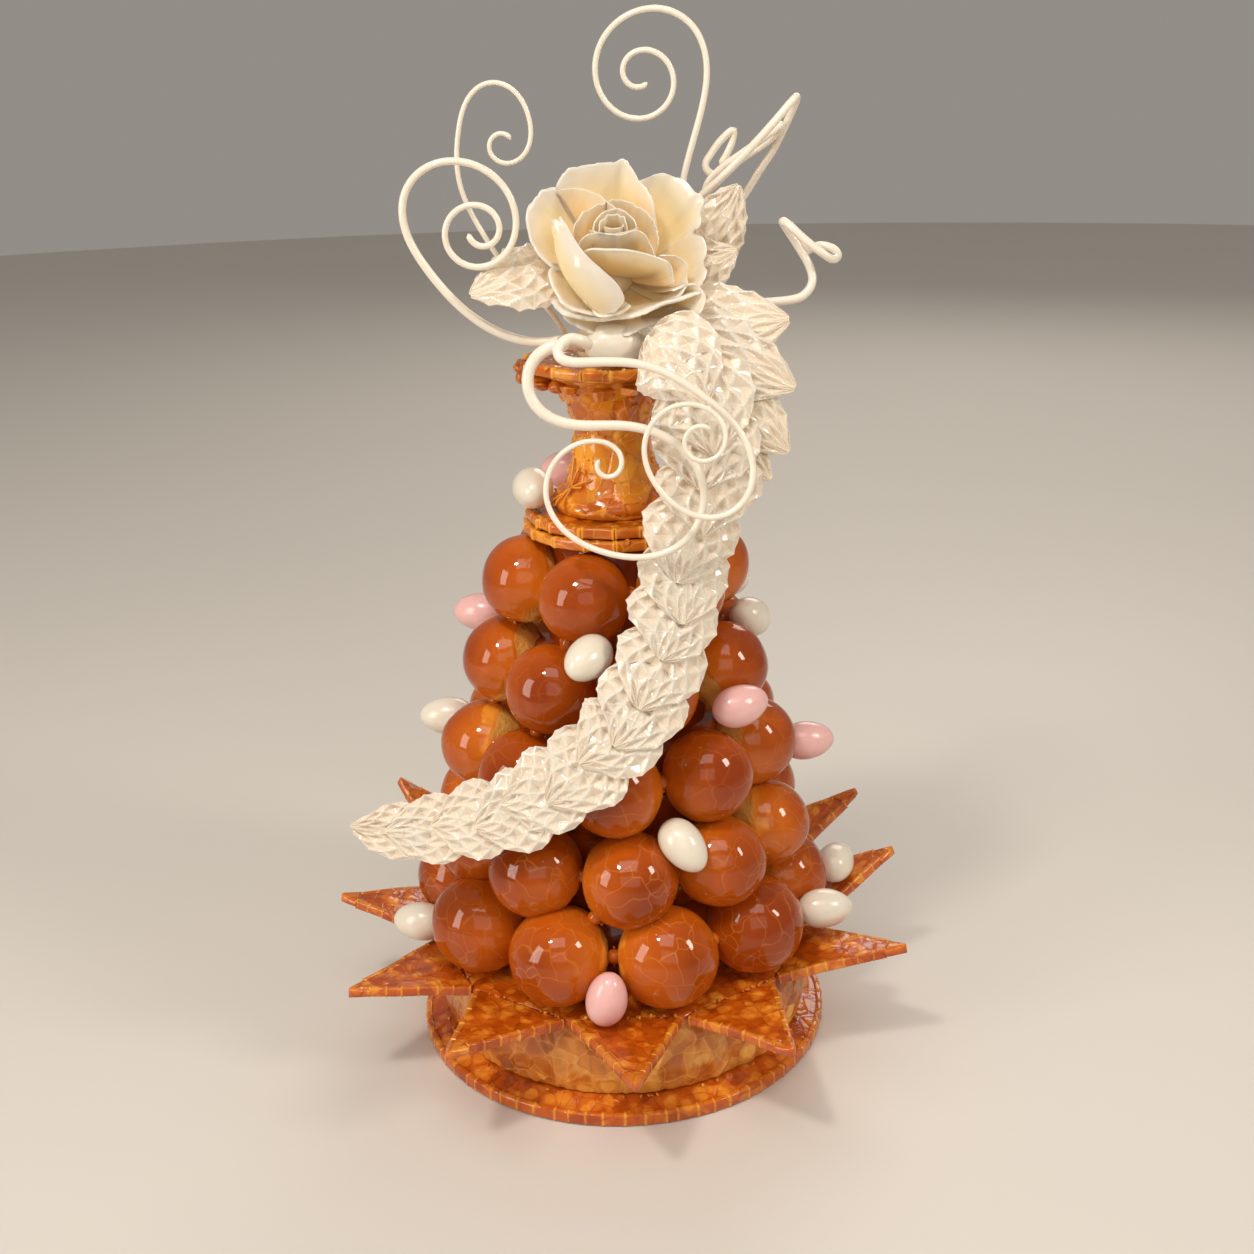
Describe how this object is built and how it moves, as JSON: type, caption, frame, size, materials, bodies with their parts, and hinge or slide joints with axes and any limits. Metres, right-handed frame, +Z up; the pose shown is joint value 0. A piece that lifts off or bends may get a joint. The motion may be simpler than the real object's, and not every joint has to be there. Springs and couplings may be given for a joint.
{
  "type": "croquembouche",
  "caption": "Tower of caramel-dipped cream puffs on a star-edged nougatine stand, with a nougatine pedestal, a sugar rose, a leaf garland, scrolls and sugared almonds.",
  "frame": {"origin": "middle of the underside of the base disc", "axes": "+Z up through the tower, -Y towards the front, +X to the right seen from the front"},
  "size_m": [0.2836, 0.2822, 0.4726],
  "materials": {
    "nougatine": "glossy amber caramel set with rounded flakes",
    "pale_nougatine": "satin pale caramel with a web of fine lines",
    "caramel_puff": "hard glossy caramel over golden choux",
    "amber_nougatine": "glossy lumpy caramel",
    "pearl_sugar": "satin pulled sugar with a pearl sheen",
    "white_almond": "satin sugar shell",
    "pink_almond": "satin sugar shell"
  },
  "bodies": {
    "root": {"base_disc": "nougatine", "drum": "pale_nougatine", "star_dish": "nougatine", "star_point_01": "nougatine", "star_point_02": "nougatine", "star_point_03": "nougatine", "star_point_04": "nougatine", "star_point_05": "nougatine", "star_point_06": "nougatine", "star_point_07": "nougatine", "star_point_08": "nougatine", "star_point_09": "nougatine", "star_point_10": "nougatine", "star_point_11": "nougatine", "puff_tier_1": "caramel_puff", "puff_tier_2": "caramel_puff", "puff_tier_3": "caramel_puff", "puff_tier_4": "caramel_puff", "puff_tier_5": "caramel_puff", "pedestal_foot_lower": "amber_nougatine", "pedestal_foot_upper": "amber_nougatine", "pedestal_column": "amber_nougatine", "pedestal_crown": "amber_nougatine", "almond_01": "pink_almond", "almond_02": "white_almond", "almond_03": "pink_almond", "almond_04": "white_almond", "almond_05": "white_almond", "almond_06": "white_almond", "almond_07": "white_almond", "almond_08": "pink_almond", "almond_09": "pink_almond", "almond_10": "white_almond", "almond_11": "white_almond", "almond_12": "white_almond", "almond_13": "pink_almond", "almond_14": "white_almond", "almond_15": "white_almond", "scroll_top": "pearl_sugar", "scroll_left_tall": "pearl_sugar", "scroll_left_round": "pearl_sugar", "scroll_front_right": "pearl_sugar", "scroll_front_left": "pearl_sugar", "scroll_right_tall": "pearl_sugar", "scroll_right_small": "pearl_sugar", "rose": "pearl_sugar", "garland_leaf_1": "pearl_sugar", "garland_leaf_2": "pearl_sugar", "garland_leaf_3": "pearl_sugar", "garland_leaf_4": "pearl_sugar", "garland_leaf_5": "pearl_sugar", "garland_leaf_6": "pearl_sugar", "garland_leaf_7": "pearl_sugar", "garland_leaf_8": "pearl_sugar", "fan_leaf_1": "pearl_sugar", "fan_leaf_2": "pearl_sugar", "fan_leaf_3": "pearl_sugar", "rose_leaf_left": "pearl_sugar", "rose_leaf_right": "pearl_sugar", "rose_leaf_low": "pearl_sugar"}
  },
  "joints": []
}
